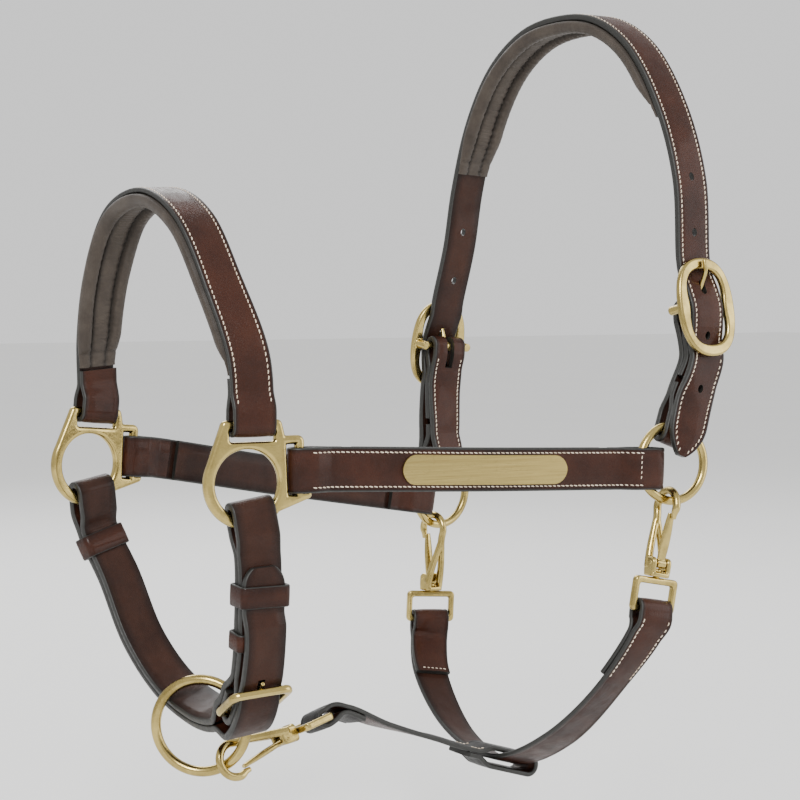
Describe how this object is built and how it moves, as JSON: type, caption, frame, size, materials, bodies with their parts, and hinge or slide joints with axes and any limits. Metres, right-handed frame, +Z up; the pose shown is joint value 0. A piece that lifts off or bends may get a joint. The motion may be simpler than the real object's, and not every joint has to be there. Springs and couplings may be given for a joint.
{
  "type": "leather headcollar",
  "caption": "Padded leather horse headcollar with brass rings, oval crown buckles, swivel snap hooks, a nameplate and a doubled, buckled chin strap, shaped as worn on a head.",
  "frame": {"origin": "underside of the poll pad at the top of the crown, where it rests behind the horse's ears", "axes": "+X from the nose towards the back of the head, +Y to the horse's right (far) side, +Z up"},
  "size_m": [0.3581, 0.2612, 0.4882],
  "materials": {
    "strap_leather": "satin Havana brown bridle leather with dark painted edges",
    "padded_lining": "soft matt grey-brown leather over foam",
    "brass_hardware": "polished solid brass, slightly dulled",
    "plate_brass": "brushed brass plate"
  },
  "bodies": {
    "headcollar": {"noseband_strap": "strap_leather", "noseband_pad": "padded_lining", "near_fitting": "brass_hardware", "far_fitting": "brass_hardware", "near_cheek_strap": "strap_leather", "near_cheek_lining": "strap_leather", "far_cheek_strap": "strap_leather", "far_cheek_lining": "strap_leather", "nameplate": "plate_brass", "near_buckle": "brass_hardware", "near_chape": "strap_leather", "far_buckle": "brass_hardware", "far_chape": "strap_leather", "crown_strap": "strap_leather", "poll_pad": "padded_lining", "near_snap_eye": "brass_hardware", "far_snap_eye": "brass_hardware", "chin_snap_eye": "brass_hardware", "throat_strap": "strap_leather", "link_strap": "strap_leather", "far_chin_keeper": "strap_leather", "chin_buckle": "brass_hardware", "chin_strap": "strap_leather"},
    "near_ring": {"near_cheek_ring": "brass_hardware"},
    "far_ring": {"far_cheek_ring": "brass_hardware"},
    "lead_ring": {"chin_ring": "brass_hardware"},
    "near_hook": {"near_snap_hook": "brass_hardware", "near_snap_pin": "brass_hardware"},
    "near_gate": {"near_snap_gate": "brass_hardware"},
    "far_hook": {"far_snap_hook": "brass_hardware", "far_snap_pin": "brass_hardware"},
    "far_gate": {"far_snap_gate": "brass_hardware"},
    "chin_hook": {"chin_snap_hook": "brass_hardware", "chin_snap_pin": "brass_hardware"},
    "chin_gate": {"chin_snap_gate": "brass_hardware"},
    "near_buckle_tongue": {"near_tongue": "brass_hardware"},
    "far_buckle_tongue": {"far_tongue": "brass_hardware"},
    "chin_buckle_tongue": {"chin_tongue": "brass_hardware"},
    "outer_keeper": {"billet_keeper": "strap_leather"},
    "lower_keeper": {"inner_keeper": "strap_leather"}
  },
  "joints": [
    {"name": "near_snap_swivel", "type": "hinge", "parent": "headcollar", "child": "near_hook", "pos_m": [-0.03168, -0.11797, -0.33861], "axis": [0.1903, 0, 0.9817], "range_deg": [-25, 25]},
    {"name": "near_gate_hinge", "type": "hinge", "parent": "near_hook", "child": "near_gate", "pos_m": [-0.02992, -0.11995, -0.32816], "axis": [-0.9731, 0.1321, 0.1887], "range_deg": [0, 12], "stiffness_Nm_per_rad": 0.03, "springref_deg": -20.05},
    {"name": "far_snap_swivel", "type": "hinge", "parent": "headcollar", "child": "far_hook", "pos_m": [-0.03234, 0.11701, -0.37515], "axis": [0.05, 0, 0.9987], "range_deg": [-25, 25]},
    {"name": "far_gate_hinge", "type": "hinge", "parent": "far_hook", "child": "far_gate", "pos_m": [-0.03207, 0.11899, -0.36455], "axis": [0.9903, 0.1301, -0.0496], "range_deg": [0, 12], "stiffness_Nm_per_rad": 0.03, "springref_deg": -20.05},
    {"name": "chin_snap_swivel", "type": "hinge", "parent": "headcollar", "child": "chin_hook", "pos_m": [-0.21865, -0.01, -0.42633], "axis": [-0.9668, -0.0897, -0.2392], "range_deg": [-8, 20]},
    {"name": "chin_gate_hinge", "type": "hinge", "parent": "chin_hook", "child": "chin_gate", "pos_m": [-0.22839, -0.01161, -0.43068], "axis": [-0.0027, 0.9398, -0.3416], "range_deg": [0, 12], "stiffness_Nm_per_rad": 0.03, "springref_deg": -20.05},
    {"name": "near_ring_spin", "type": "hinge", "parent": "headcollar", "child": "near_ring", "pos_m": [-0.0183, -0.117, -0.2684], "axis": [0.1224, 0.9903, -0.0654], "continuous": true},
    {"name": "near_tongue_hinge", "type": "hinge", "parent": "headcollar", "child": "near_buckle_tongue", "pos_m": [0.0025, -0.1135, -0.1765], "axis": [1, 0.002, 0.0098], "range_deg": [0, 12]},
    {"name": "far_ring_spin", "type": "hinge", "parent": "headcollar", "child": "far_ring", "pos_m": [-0.0236, 0.117, -0.3046], "axis": [-0.1216, 0.9919, 0.0355], "continuous": true},
    {"name": "far_tongue_hinge", "type": "hinge", "parent": "headcollar", "child": "far_buckle_tongue", "pos_m": [-0.0225, 0.1135, -0.203], "axis": [-0.9982, -0.0084, 0.0593], "range_deg": [0, 12]},
    {"name": "chin_ring_spin", "type": "hinge", "parent": "headcollar", "child": "lead_ring", "pos_m": [-0.2778, -0.002, -0.4173], "axis": [-0.6691, -0.7431, 0], "continuous": true},
    {"name": "chin_tongue_hinge", "type": "hinge", "parent": "headcollar", "child": "chin_buckle_tongue", "pos_m": [-0.28366, -0.06521, -0.39588], "axis": [-0.9955, 0.0775, -0.0545], "range_deg": [0, 9]},
    {"name": "billet_keeper_slide", "type": "slide", "parent": "headcollar", "child": "outer_keeper", "axis": [-0.0031, 0.0521, -0.9986], "range_m": [-0.003, 0.003]},
    {"name": "inner_keeper_slide", "type": "slide", "parent": "headcollar", "child": "lower_keeper", "axis": [0.0427, 0.1714, -0.9843], "range_m": [-0.003, 0.003]}
  ]
}
